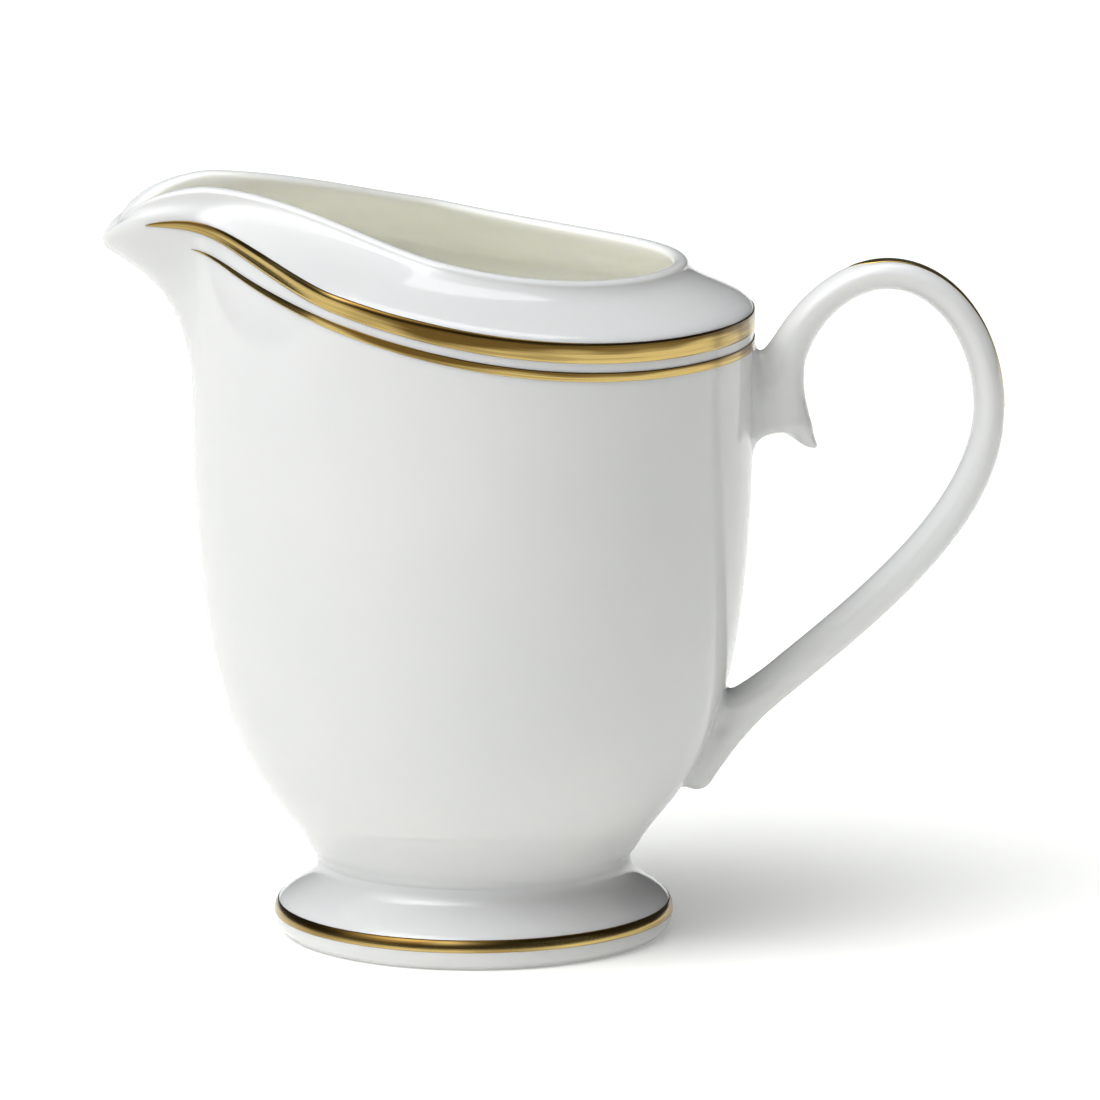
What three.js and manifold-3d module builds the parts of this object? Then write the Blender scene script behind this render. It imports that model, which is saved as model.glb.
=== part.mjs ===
// Porcelain cream jug on a low round foot.
// A slip-cast body whose rim sweeps up into a pouring spout, a hollow pedestal foot and a loop
// handle luted on with slip, and four strokes of burnished gold fired over the glaze.
// Millimetres, +Z up, standing on Z = 0. The spout points along -X and the handle along +X.

import * as THREE from "three";
import { mergeVertices } from "three/addons/utils/BufferGeometryUtils.js";
import Module from "manifold-3d";

const wasm = await Module();
wasm.setup();

// ---- Driving dimensions ---------------------------------------------------------------------

const bodyRadius = 42; // straight wall under the shoulder
const wall = 2.4; // thickness of the cast wall
const shoulderHeight = 93.6; // shoulder line on the handle side
const shoulderRise = 15.3; // climb of the shoulder line from the handle side to its crest
const collarHeight = 8; // from the shoulder line up to the rim, on the handle side
const collarWidth = 9.8; // how far the rim stands in from the shoulder
const rimRise = 12; // climb of the rim from the handle side to its crest
const lipHeight = 0.9; // how far the rounded lip stands above the rim line

const spoutOverhang = 13.2; // how far the spout reaches past the straight wall
const spoutHalfWidth = 10.1; // half the width of the pouring channel
const spoutTipRise = 11.4; // tip of the spout above the shoulder line on the handle side
const spoutLip = 2; // how far the rim stands back from the tip
const spoutLipRise = 1.3; // rim above the shoulder line at the tip
const spoutWall = 3.2; // thickness of the pouring edge at the tip
const spoutSideWall = 2.6; // thickness of the sides of the pouring channel

const waistRadius = 23.7; // narrowest ring, where the foot meets the body
const footHeight = 11; // top of the foot
const footFlare = 6.4; // widest ring of the foot outside the waist
const footTuck = 1.2; // how far the ring it stands on is tucked in under the widest ring
const footRingWidth = 3.4; // flat ring the jug stands on
const footWall = 3.2; // wall of the pedestal at the waist
const floorThickness = 3.2; // bottom of the bowl
const throatHeight = 13.4; // how far below the shoulder the spout starts to swell out

const handleOverhang = 37.6; // how far the handle reaches past the straight wall
const handleRise = 8.6; // top of the handle above the shoulder line
const handleThickness = 4.6; // across the loop, seen from the side
const handleWidth = 6.2; // seen from the front
const handleRootDrop = 13; // middle of the upper joint below the shoulder line
const handleRootOut = 3.2; // middle of the upper joint outside the straight wall
const handleTopOut = 20; // top of the loop outside the straight wall
const handleEndRise = 12.8; // rounded lower end above the top of the foot
const handleEndOut = 1.6; // rounded lower end outside the belly
const elbowOut = 12.1; // where the sweep turns down the belly, outside the lower end
const elbowRise = 14.1; // and above it
const spurReach = 5.9; // tip of the thumb spur outside the upper joint
const spurDrop = 6.7; // and below it

const bandWidth = 3; // wide gold band at the shoulder
const lineWidth = 1.35; // narrow gold line below it
const lineDrop = 3.5; // from the middle of the band down to the middle of the line
const footBandWidth = 2; // gold band round the foot
const footBandAt = 0.22; // its middle, as a share of the way from the widest ring to the cove
const strokeWidth = 3.4; // gold stroke along the back of the handle
const strokeStart = 0.7; // where it starts, as a share of the climb to the top of the loop
const goldThickness = 0.3; // strips are thicker than real gilding so that they stay solid
const luteGap = 0.3; // clearance between two pieces that meet

// ---- Small helpers --------------------------------------------------------------------------

const { lerp, clamp, degToRad } = THREE.MathUtils;
const { abs, atan2, cos, hypot, max, min, PI, sin, sqrt } = Math;

const flat = (x, y) => new THREE.Vector2(x, y);
const space = (x, y, z) => new THREE.Vector3(x, y, z);
const steps = (count, from = 0, to = 1) =>
  Array.from({ length: count }, (_, i) => lerp(from, to, i / (count - 1)));

// Cubic curve in a plane, from four control points given as pairs.
const cubic = (...points) => new THREE.CubicBezierCurve(...points.map(([x, y]) => flat(x, y)));

// Lower of two values, with the corner between them rounded over the given width.
function softMin(a, b, width) {
  const near = max(width - abs(a - b), 0) / width;
  return min(a, b) - (near * near * width) / 4;
}

// Closed surface through a stack of rings. Every ring has the same number of points, and a ring
// of one point closes the surface to a tip.
function skin(rings) {
  const positions = [];
  const starts = rings.map((ring) => {
    const start = positions.length / 3;
    ring.forEach((p) => positions.push(p.x, p.y, p.z));
    return start;
  });
  const columns = max(...rings.map((ring) => ring.length));
  const faces = [];
  for (let i = 0; i + 1 < rings.length; i++) {
    const corner = (row, j) => starts[row] + (rings[row].length === 1 ? 0 : j % columns);
    for (let j = 0; j < columns; j++) {
      const [a, b] = [corner(i, j), corner(i, j + 1)];
      const [c, d] = [corner(i + 1, j + 1), corner(i + 1, j)];
      if (a !== b) faces.push(a, b, c);
      if (c !== d) faces.push(a, c, d);
    }
  }
  const geometry = new THREE.BufferGeometry();
  geometry.setAttribute("position", new THREE.Float32BufferAttribute(positions, 3));
  geometry.setIndex(faces);
  return geometry;
}

// Middle of a ring: the tip that closes the end of a strip.
function middle(section) {
  return section.reduce((sum, p) => sum.add(p), space(0, 0, 0)).divideScalar(section.length);
}

// Solid for joining and cutting, from any closed geometry.
function solid(geometry) {
  const bare = geometry.clone();
  bare.deleteAttribute("normal");
  bare.deleteAttribute("uv");
  const merged = mergeVertices(bare, 1e-4);
  const vertProperties = merged.attributes.position.array;
  const triVerts = new Uint32Array(merged.index.array);
  return new wasm.Manifold(new wasm.Mesh({ numProp: 3, vertProperties, triVerts }));
}

function geometryOf(manifold) {
  const mesh = manifold.getMesh();
  const geometry = new THREE.BufferGeometry();
  geometry.setAttribute("position", new THREE.BufferAttribute(mesh.vertProperties, 3));
  geometry.setIndex(new THREE.BufferAttribute(mesh.triVerts, 1));
  return geometry;
}

// ---- Plan of the shoulder and of the rim ----------------------------------------------------
// Each is half an outline, from the handle round to the tip of the spout: an arc, a flank that
// pinches in to the pouring channel, and the rounded end of the channel.

const channelSlope = degToRad(15); // how much the channel narrows towards its tip
const spoutReach = bodyRadius + spoutOverhang;
const spoutTipHeight = shoulderHeight + spoutTipRise;
const rimHeight = shoulderHeight + collarHeight;

function halfOutline({ radius, leavesAt, channelStart, halfWidth, tip, bend, tipPull }) {
  const angle = degToRad(leavesAt);
  const leave = [radius * cos(angle), radius * sin(angle)];
  const along = ([x, y], dx, dy, length) => [x + dx * length, y + dy * length];
  const channel = [-channelStart, halfWidth];
  const [cx, cy] = [-cos(channelSlope), -sin(channelSlope)];
  return [
    new THREE.EllipseCurve(0, 0, radius, radius, 0, angle),
    cubic(
      leave,
      along(leave, -sin(angle), cos(angle), bend[0]),
      along(channel, cx, cy, -bend[1]),
      channel,
    ),
    cubic(
      channel,
      along(channel, cx, cy, (tip - channelStart) * 0.6),
      [-tip, halfWidth * tipPull],
      [-tip, 0],
    ),
  ];
}

const shoulder = {
  radius: bodyRadius,
  leavesAt: 118,
  channelStart: bodyRadius,
  halfWidth: spoutHalfWidth,
  tip: spoutReach,
  bend: [8, 8],
  tipPull: 0.62,
};
const rim = {
  radius: bodyRadius - collarWidth,
  leavesAt: 98,
  channelStart: bodyRadius - 4,
  halfWidth: spoutHalfWidth,
  tip: spoutReach - spoutLip,
  bend: [7, 14],
  tipPull: 0.75,
};
const shoulderOutline = halfOutline(shoulder);
const rimOutline = halfOutline(rim);

// Insides of both. At the tip the channel rises out of the bowl to meet the inside of the lip.
const insideShoulderOutline = halfOutline({
  ...shoulder,
  radius: shoulder.radius - wall,
  halfWidth: shoulder.halfWidth - spoutSideWall,
  tip: rim.tip - spoutWall - 1.2,
});
const insideRimOutline = halfOutline({
  ...rim,
  radius: rim.radius - wall,
  halfWidth: rim.halfWidth - spoutSideWall,
  tip: rim.tip - spoutWall,
});

// Stations round half the jug: which of the three curves, and how far along it.
const arcSteps = 14;
const flankSteps = 7;
const tipSteps = 6;
const halfStations = [
  ...steps(arcSteps + 1).map((t) => ({ curve: 0, t })),
  ...steps(flankSteps + 1).slice(1).map((t) => ({ curve: 1, t })),
  ...steps(tipSteps + 1).slice(1).map((t) => ({ curve: 2, t })),
];

// Point of an outline at a station, moved inwards by inset.
function planPoint(outline, { curve, t }, inset = 0) {
  const point = outline[curve].getPoint(t);
  const tangent = outline[curve].getTangent(t);
  return flat(point.x - tangent.y * inset, max(point.y + tangent.x * inset, 0));
}

// Height of a line seen from the side: level at the handle, rising ever faster, rounded into the
// crest of the spout and dropping to the tip as a quarter ellipse. Shares run from 0 at the
// handle to 1 at the tip.
function sideLine({ level, crest, tipHeight, riseFrom, riseTo, steepening, crestAt, rounding }) {
  return (share) => {
    const rise = max(share - riseFrom, 0) / (riseTo - riseFrom);
    const risen = softMin(level + (crest - level) * rise ** steepening, crest, rounding);
    const past = clamp((share - crestAt) / (1 - crestAt), 0, 1);
    return lerp(tipHeight, risen, sqrt(1 - past * past));
  };
}

const shoulderLine = sideLine({
  level: shoulderHeight,
  crest: shoulderHeight + shoulderRise,
  tipHeight: spoutTipHeight,
  riseFrom: 0.08,
  riseTo: 0.84,
  steepening: 2.15,
  crestAt: 0.885,
  rounding: 2,
});
const rimLine = sideLine({
  level: rimHeight,
  crest: rimHeight + rimRise,
  tipHeight: spoutTipHeight + spoutLipRise,
  riseFrom: 0.03,
  riseTo: 0.73,
  steepening: 2,
  crestAt: 0.82,
  rounding: 5,
});

// Where a station lies between the handle (0) and the tip of the spout (1), seen from the side.
function shareOf(outline, station) {
  const x = planPoint(outline, station).x;
  const from = outline[0].xRadius;
  const to = planPoint(outline, { curve: 2, t: 1 }).x;
  return (from - x) / (from - to);
}

// How far a station is from the round part (0) towards the tip of the spout (1).
const spoutness = ({ curve, t }) => (curve === 2 ? 0.5 + t / 2 : curve === 1 ? t / 2 : 0);

// ---- Section of the body --------------------------------------------------------------------

const seatHeight = footHeight + luteGap; // underside of the body
const bellyTop = shoulderHeight - throatHeight; // above this the wall opens out to the spout
const neck = [waistRadius + 1.4, seatHeight + 2.7]; // end of the hollow above the waist
const bellyCurves = [
  cubic(
    [waistRadius, seatHeight],
    [waistRadius, seatHeight + 1.2],
    [neck[0] - 0.7, neck[1] - 1.25],
    neck,
  ),
  cubic(neck, [neck[0] + 5.1, neck[1] + 9.3], [bodyRadius, neck[1] + 10.9], [bodyRadius, bellyTop]),
];

// Radius of the outside of the belly at a height, found by halving.
function bellyRadius(height) {
  if (height >= bellyTop) return bodyRadius;
  const curve = bellyCurves[height < neck[1] ? 0 : 1];
  let [low, high] = [0, 1];
  for (let i = 0; i < 30; i++) {
    const between = (low + high) / 2;
    if (curve.getPoint(between).y < height) low = between;
    else high = between;
  }
  return curve.getPoint(low).x;
}

// From the belly to the shoulder the plan changes from a circle to the shoulder outline. The
// curve gives the share of that change (x) against the share of the height (y).
const throat = cubic([0, 0], [0, 0.86], [0.92, 0.86], [1, 1]);

// From the shoulder to the rim: upright, rounded over, sloping in and turning up again. The
// curve gives the share of the way in (x) against the share of the way up (y).
const collar = cubic([0, 0.15], [0, 0.43], [0.87, 0.6], [1, 1]);

// The outside and the inside of the wall differ in their outlines, in the radius of the belly
// and in the height of the corner under the shoulder.
const outside = {
  shoulder: shoulderOutline,
  rim: rimOutline,
  bellyRadius: bodyRadius,
  lift: () => 0,
};
const inside = {
  shoulder: insideShoulderOutline,
  rim: insideRimOutline,
  bellyRadius: bodyRadius - wall,
  lift: (station) => lerp(-0.6 * wall, 0.1 * wall, spoutness(station)),
};

// Corner under the shoulder: the outline in plan with the height of the shoulder line.
function shoulderPoint(station, side = outside, clearance = 0) {
  const plan = planPoint(side.shoulder, station, -clearance);
  const height = shoulderLine(shareOf(shoulderOutline, station)) + side.lift(station);
  return space(plan.x, plan.y, height);
}

function rimPoint(station, side = outside, clearance = 0) {
  const plan = planPoint(side.rim, station, -clearance);
  return space(plan.x, plan.y, rimLine(shareOf(rimOutline, station)));
}

function throatPoint(station, t, side = outside, clearance = 0) {
  const top = shoulderPoint(station, side, clearance);
  const share = throat.getPoint(t);
  const angle = atan2(top.y, top.x);
  const radius = lerp(side.bellyRadius + clearance, hypot(top.x, top.y), share.x);
  return space(radius * cos(angle), radius * sin(angle), lerp(bellyTop, top.z, share.y));
}

function collarPoint(station, t, side = outside, clearance = 0) {
  const from = shoulderPoint(station, side, clearance);
  const to = rimPoint(station, side, clearance);
  const share = collar.getPoint(t);
  return space(
    lerp(from.x, to.x, share.x),
    lerp(from.y, to.y, share.x),
    lerp(from.z, to.z, share.y),
  );
}

// Rounded top of the lip, from its outer edge (0) to its inner edge (1).
function lipPoint(station, t) {
  const p = rimPoint(station).lerp(rimPoint(station, inside), (1 - cos(PI * t)) / 2);
  p.z += lipHeight * sin(PI * t);
  return p;
}

function circlePoint(station, radius, height) {
  const { x, y } = planPoint(shoulderOutline, station);
  const angle = atan2(y, x);
  return space(radius * cos(angle), radius * sin(angle), height);
}

// Full ring from a function of the station: one half, then its mirror image.
function ring(pointAt) {
  const half = halfStations.map(pointAt);
  const mirrored = half.slice(1, -1).reverse();
  return [...half, ...mirrored.map((p) => space(p.x, -p.y, p.z))];
}

// Outside of the body from the underside up to the rim, standing off by a clearance. The two
// parts of the belly come first, then the throat and the collar.
function outsideRings(clearance = 0) {
  const belly = bellyCurves.flatMap((curve, i) =>
    steps(i === 0 ? 3 : 10).slice(i).map((t) => curve.getPoint(t)),
  );
  return [
    ...belly.map((p) => ring((s) => circlePoint(s, p.x + clearance, p.y))),
    ...steps(7).slice(1).map((t) => ring((s) => throatPoint(s, t, outside, clearance))),
    ...steps(7).map((t) => ring((s) => collarPoint(s, t, outside, clearance))),
  ];
}

function bodyGeometry() {
  const floorHeight = seatHeight + floorThickness;
  const bowlPoint = (t) => {
    const [p, tangent] = [bellyCurves[1].getPoint(t), bellyCurves[1].getTangent(t)];
    return flat(p.x - tangent.y * wall, p.y + tangent.x * wall);
  };
  const lowest = bowlPoint(0.12);
  const bowl = [1, 0.82, 0.66, 0.5, 0.35, 0.22, 0.12].map(bowlPoint);
  const floorCorner = cubic(
    [lowest.x, lowest.y],
    [lowest.x - 1.6, lowest.y - 2.2],
    [lowest.x - 3.4, floorHeight],
    [lowest.x - 7, floorHeight],
  );
  return skin([
    [space(0, 0, seatHeight)],
    ...outsideRings(),
    ...steps(5).slice(1).map((t) => ring((s) => lipPoint(s, t))),
    ...steps(5, 1, 0).slice(1).map((t) => ring((s) => collarPoint(s, t, inside))),
    ...steps(5, 1, 0).slice(1, -1).map((t) => ring((s) => throatPoint(s, t, inside))),
    ...bowl.map((p) => ring((s) => circlePoint(s, p.x, p.y))),
    ...steps(4).slice(1).map((t) => floorCorner.getPoint(t)).map((p) =>
      ring((s) => circlePoint(s, p.x, p.y)),
    ),
    [space(0, 0, floorHeight)],
  ]);
}

// Body filled solid and standing off by the lute gap: what the handle is trimmed with.
function bodyCutter() {
  const rings = outsideRings(luteGap);
  return solid(skin([[space(0, 0, seatHeight)], ...rings, [space(0, 0, shoulderHeight)]]));
}

// ---- Foot -----------------------------------------------------------------------------------

const footWidest = 3; // height of the widest ring
const footRadius = waistRadius + footFlare;
const footBaseRadius = footRadius - footTuck; // outside of the ring the jug stands on
const footEdge = cubic(
  [footBaseRadius, 0],
  [footBaseRadius + 0.7, 0.5],
  [footRadius, footWidest - 1.4],
  [footRadius, footWidest],
);
const footShoulder = cubic(
  [footRadius, footWidest],
  [footRadius, footWidest + 1.4],
  [footRadius - 0.9, footWidest + 2.2],
  [footRadius - 2.2, footWidest + 3.1],
);
const footCove = cubic(
  [footRadius - 2.2, footWidest + 3.1],
  [footRadius - 4.3, footWidest + 4.55],
  [waistRadius, footHeight - 2.5],
  [waistRadius, footHeight],
);

function footGeometry() {
  const recessRadius = footBaseRadius - footRingWidth;
  const outside = [
    ...footEdge.getPoints(3),
    ...footShoulder.getPoints(4).slice(1),
    ...footCove.getPoints(6).slice(1),
  ];
  const recess = cubic(
    [waistRadius - footWall, footHeight],
    [waistRadius - footWall, footHeight - 4],
    [recessRadius - 1, 4],
    [recessRadius, 0],
  );
  const profile = [...outside, ...recess.getPoints(5), outside[0]];
  return new THREE.LatheGeometry(profile, 2 * (arcSteps + flankSteps + tipSteps)).rotateX(PI / 2);
}

// ---- Handle ---------------------------------------------------------------------------------
// The middle line of the loop lies in the plane Y = 0. It rises from the upper joint, turns
// over the top, falls outside and sweeps back in to the lower joint on the belly.

const inPlane = (x, z) => space(x, 0, z);
const halfThickness = handleThickness / 2;
const rootHeight = shoulderHeight - handleRootDrop;
const rootX = bodyRadius + handleRootOut;
const topHeight = shoulderHeight + handleRise - halfThickness;
const topX = bodyRadius + handleTopOut;
const outerX = bodyRadius + handleOverhang - halfThickness;
const outerHeight = rootHeight - 1;
const endHeight = footHeight + handleEndRise;
const endX = bellyRadius(endHeight) + handleEndOut;
const elbow = inPlane(endX + elbowOut, endHeight + elbowRise);
const elbowAngle = degToRad(219.7);
const downElbow = (distance) =>
  inPlane(elbow.x + distance * cos(elbowAngle), elbow.z + distance * sin(elbowAngle));

const loopCurves = [
  new THREE.LineCurve3(inPlane(rootX + 0.5, rootHeight - 4.4), inPlane(rootX, rootHeight)),
  new THREE.CubicBezierCurve3(
    inPlane(rootX, rootHeight),
    inPlane(rootX + 1.2, lerp(rootHeight, topHeight, 0.6)),
    inPlane(topX - 7.4, topHeight),
    inPlane(topX, topHeight),
  ),
  ellipseQuarter(topX, outerHeight, outerX - topX, topHeight - outerHeight),
  new THREE.CubicBezierCurve3(
    inPlane(outerX, outerHeight),
    inPlane(outerX, lerp(elbow.z, outerHeight, 0.62)),
    downElbow(-18.5),
    elbow,
  ),
  new THREE.CubicBezierCurve3(
    elbow,
    downElbow(7.3),
    inPlane(endX + 2.9, endHeight + 4.4),
    inPlane(endX, endHeight),
  ),
];

// Quarter of an ellipse in the plane of the loop, from its top round to its outermost point.
function ellipseQuarter(centreX, centreZ, radiusX, radiusZ) {
  const curve = new THREE.Curve();
  curve.getPoint = (t) =>
    inPlane(centreX + radiusX * sin((t * PI) / 2), centreZ + radiusZ * cos((t * PI) / 2));
  return curve;
}

// Stations along the loop: point, direction and half the thickness there. Each stretch is given
// by its curve, its number of steps, the half thickness at both ends and how early it changes.
function loopStations(stretches) {
  return stretches.flatMap(([curve, count, from, to, early = 4], i) =>
    steps(count + 1).slice(i ? 1 : 0).map((t) => ({
      stretch: i,
      t,
      point: curve.getPoint(t),
      along: curve.getTangent(t),
      half: lerp(to, from, (1 - t) ** early),
    })),
  );
}

// Rings of an oval section along the stations, square to their direction.
function ovalRings(stations, sides, halfWidth) {
  return stations.map(({ point, along, half }) =>
    steps(sides + 1).slice(0, -1).map((share) => {
      const [across, out] = [sin(2 * PI * share), cos(2 * PI * share)];
      return space(
        point.x + along.z * out * half,
        across * halfWidth(half),
        point.z - along.x * out * half,
      );
    }),
  );
}

const loop = loopStations([
  [loopCurves[0], 2, halfThickness * 2.05, halfThickness * 1.85],
  [loopCurves[1], 9, halfThickness * 1.85, halfThickness],
  [loopCurves[2], 9, halfThickness, halfThickness],
  [loopCurves[3], 12, halfThickness, halfThickness * 1.2, 3],
  [loopCurves[4], 5, halfThickness * 1.2, halfThickness * 1.13],
]);

// The loop is a little wider from front to back where it is thicker.
const loopHalfWidth = (half) => (handleWidth / 2) * (1 + 0.22 * (half / halfThickness - 1));

function handleGeometry() {
  const [first, last] = [loop[0], loop[loop.length - 1]];
  const cap = [0.5, 0.87].map((reach) => ({
    point: last.point.clone().addScaledVector(last.along, last.half * reach),
    along: last.along,
    half: last.half * sqrt(1 - reach * reach),
  }));
  const end = last.point.clone().addScaledVector(last.along, last.half);
  const strand = skin([
    [first.point],
    ...ovalRings(loop, 12, loopHalfWidth),
    ...ovalRings(cap, 12, (half) => (loopHalfWidth(last.half) * half) / last.half),
    [end],
  ]);
  // Thumb spur: a short horn that drops from the inner side of the upper joint.
  const spurCurve = new THREE.QuadraticBezierCurve3(
    inPlane(rootX + 0.6, rootHeight + 3),
    inPlane(rootX + 2.6, rootHeight - 3.8),
    inPlane(rootX + spurReach, rootHeight - spurDrop),
  );
  const spurStations = loopStations([[spurCurve, 6, halfThickness * 1.3, 0.5, 0.7]]);
  const spurRings = ovalRings(spurStations, 12, (half) => handleWidth * 0.15 + half * 0.6);
  const spur = skin([[spurStations[0].point], ...spurRings, [spurStations.at(-1).point]]);
  return geometryOf(solid(strand).add(solid(spur)).subtract(bodyCutter()));
}

// ---- Gold -----------------------------------------------------------------------------------
// Each stroke is a thin strip standing off the glaze by the lute gap.

// Point of the outside wall a given height above the shoulder line.
function wallPoint(station, above) {
  const top = shoulderPoint(station);
  if (above >= 0) return space(top.x, top.y, top.z + above);
  const wanted = (top.z + above - bellyTop) / (top.z - bellyTop);
  let [low, high] = [0, 1];
  for (let i = 0; i < 30; i++) {
    const between = (low + high) / 2;
    if (throat.getPoint(between).y < wanted) low = between;
    else high = between;
  }
  return throatPoint(station, low);
}

// Strip along the wall from one flank of the spout round the handle side to the other flank. It
// starts as a point at the station startAt and reaches its full width a little further on.
function shoulderStroke({ drop, width, startAt }) {
  const half = halfStations.filter(({ curve, t }) => curve + t <= startAt);
  const open = [...half].reverse().map((station) => ({ station, side: 1 }));
  const closing = half.slice(1).map((station) => ({ station, side: -1 }));
  const sections = [...open, ...closing].map(({ station, side }) => {
    const taper = sqrt(clamp((startAt - station.curve - station.t) / 0.9, 0, 1));
    const reach = (width / 2) * max(taper, 0.12);
    const tangent = shoulderOutline[station.curve].getTangent(station.t);
    const strip = [-reach, reach].map((offset) => {
      const p = wallPoint(station, offset - drop);
      return [luteGap, luteGap + goldThickness].map((off) =>
        space(p.x + tangent.y * off, side * (p.y - tangent.x * off), p.z),
      );
    });
    return [strip[0][0], strip[0][1], strip[1][1], strip[1][0]];
  });
  return skin([[middle(sections[0])], ...sections, [middle(sections.at(-1))]]);
}

function footBandGeometry() {
  const centre = footShoulder.getPoint(footBandAt);
  const tangent = footShoulder.getTangent(footBandAt);
  const outward = flat(tangent.y, -tangent.x);
  const corner = (along, out) =>
    centre.clone().addScaledVector(tangent, along).addScaledVector(outward, out);
  const reach = footBandWidth / 2;
  const bulge = centre.distanceTo(footShoulder.getPoint(0)) * 0.15; // the foot curves away
  const [inner, outer] = [luteGap, luteGap + goldThickness];
  const profile = [
    corner(-reach, inner - bulge),
    corner(-reach, outer - bulge),
    corner(0, outer),
    corner(reach, outer - bulge),
    corner(reach, inner - bulge),
    corner(0, inner),
    corner(-reach, inner - bulge),
  ];
  return new THREE.LatheGeometry(profile, 2 * (arcSteps + flankSteps + tipSteps)).rotateX(PI / 2);
}

// Stroke along the outer back of the loop, from before the top to the outermost point.
function handleStrokeGeometry() {
  const stroke = loop.filter(({ stretch, t }) => stretch === 2 || (stretch === 1 && t > strokeStart));
  const fan = [-0.5, -0.17, 0.17, 0.5];
  const sections = stroke.map(({ point, along, half }, i) => {
    const share = i / (stroke.length - 1);
    const reach = strokeWidth * sqrt(1 - 0.92 * share * share);
    const strip = (off) =>
      fan.map((across) => {
        const y = across * reach;
        const out = half * sqrt(1 - (y / loopHalfWidth(half)) ** 2) + off;
        return space(point.x - along.z * out, y, point.z + along.x * out);
      });
    return [...strip(luteGap), ...strip(luteGap + goldThickness).reverse()];
  });
  return skin([[middle(sections[0])], ...sections, [middle(sections.at(-1))]]);
}

// ---- Assembly -------------------------------------------------------------------------------

const porcelain = (color) => new THREE.MeshStandardMaterial({ color, roughness: 0.12, metalness: 0 });
const gold = (color) => new THREE.MeshStandardMaterial({ color, roughness: 0.22, metalness: 1 });

const jug = new THREE.Group();
// The middle of the whole length, spout tip to handle, stands over the origin.
jug.position.x = (spoutReach - bodyRadius - handleOverhang) / 2;

function place(name, geometry, material) {
  geometry.computeVertexNormals();
  const mesh = new THREE.Mesh(geometry, material);
  mesh.name = name;
  jug.add(mesh);
}

place("jug_body", bodyGeometry(), porcelain(0xe9eaec));
place("foot", footGeometry(), porcelain(0xe6e7e8));
place("handle", handleGeometry(), porcelain(0xe7e8ea));
place(
  "shoulder_gold_band",
  shoulderStroke({ drop: 0, width: bandWidth, startAt: 2.35 }),
  gold(0xa98a3e),
);
place(
  "shoulder_gold_line",
  shoulderStroke({ drop: lineDrop, width: lineWidth, startAt: 2 }),
  gold(0xa38440),
);
place("foot_gold_band", footBandGeometry(), gold(0xa98a3e));
place("handle_gold_stroke", handleStrokeGeometry(), gold(0x9c8048));

const part = new THREE.Group();
part.add(jug);
export default part;
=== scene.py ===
# Porcelain cream jug on a low round foot, banded with burnished gold.
# Sizes are in millimetres from the middle of the jug, and become metres in the frame of the part.

from math import cos, pi, radians, sin

import bpy
import numpy as np
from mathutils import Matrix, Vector


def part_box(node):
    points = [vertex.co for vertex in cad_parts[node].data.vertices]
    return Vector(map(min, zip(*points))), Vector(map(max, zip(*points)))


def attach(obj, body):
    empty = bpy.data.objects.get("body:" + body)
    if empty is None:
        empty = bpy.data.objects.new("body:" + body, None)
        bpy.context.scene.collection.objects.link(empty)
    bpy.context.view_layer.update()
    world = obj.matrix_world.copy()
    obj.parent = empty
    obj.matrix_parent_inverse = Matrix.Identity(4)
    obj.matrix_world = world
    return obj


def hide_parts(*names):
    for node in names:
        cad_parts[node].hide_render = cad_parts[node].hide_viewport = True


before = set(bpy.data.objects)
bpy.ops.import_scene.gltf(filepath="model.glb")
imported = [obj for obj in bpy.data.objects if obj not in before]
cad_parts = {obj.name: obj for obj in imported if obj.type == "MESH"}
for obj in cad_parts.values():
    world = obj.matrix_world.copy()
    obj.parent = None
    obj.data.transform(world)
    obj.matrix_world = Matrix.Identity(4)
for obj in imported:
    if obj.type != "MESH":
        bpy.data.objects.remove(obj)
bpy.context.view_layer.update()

# ---- Foot ------------------------------------------------------------------------------------
# A hollow pedestal of thin cast porcelain, turned true on the wheel and luted to the body with
# slip. It is glazed all over except for the narrow dry ring that it stands on.

MM = 0.001
foot_low, foot_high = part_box("foot")
axis_x = (foot_low.x + foot_high.x) / 2 / MM

foot_height = foot_high.z / MM
waist_radius = 23.7
foot_radius = 30.1
foot_widest = 3.0
foot_base_radius = 28.9
foot_ring_width = 3.4
foot_wall = 3.2
ring_edge = 0.35  # rounding on both edges of the dry ring
foot_tuck = 0.5  # how far the foot runs up inside the joint with the body
joint_clearance = 0.04  # keeps the hidden parts of two glazed pieces from touching
wheel_steps = 160


def bow(points, count):
    """Points along a cubic curve given by its four control points."""
    a, b, c, d = (np.array(p, float) for p in points)
    t = np.linspace(0, 1, count)[:, None]
    return (1 - t) ** 3 * a + 3 * t * (1 - t) ** 2 * b + 3 * t * t * (1 - t) * c + t**3 * d


def bench(name, **inputs):
    """A new Geometry Nodes tree, its named inputs, and a function that adds a node to it."""
    tree = bpy.data.node_groups.new(name, "GeometryNodeTree")
    tree.interface.new_socket("Geometry", in_out="INPUT", socket_type="NodeSocketGeometry")
    for label, kind in inputs.items():
        tree.interface.new_socket(
            label.replace("_", " "), in_out="INPUT", socket_type="NodeSocket" + kind
        )
    tree.interface.new_socket("Geometry", in_out="OUTPUT", socket_type="NodeSocketGeometry")
    given = tree.nodes.new("NodeGroupInput").outputs

    def add(kind, *takes, **settings):
        node = tree.nodes.new(kind)
        for key, value in settings.items():
            setattr(node, key, value)
        sockets = [s for s in node.inputs if s.enabled]
        for socket, value in zip(sockets, takes):
            if isinstance(value, bpy.types.NodeSocket):
                tree.links.new(value, socket)
            elif value is not None:
                socket.default_value = value
        return [s for s in node.outputs if s.enabled]

    return tree, given, add


def calc(add, operation, *takes):
    """One step of arithmetic in a tree."""
    return add("ShaderNodeMath", *takes, operation=operation)[0]


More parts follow.
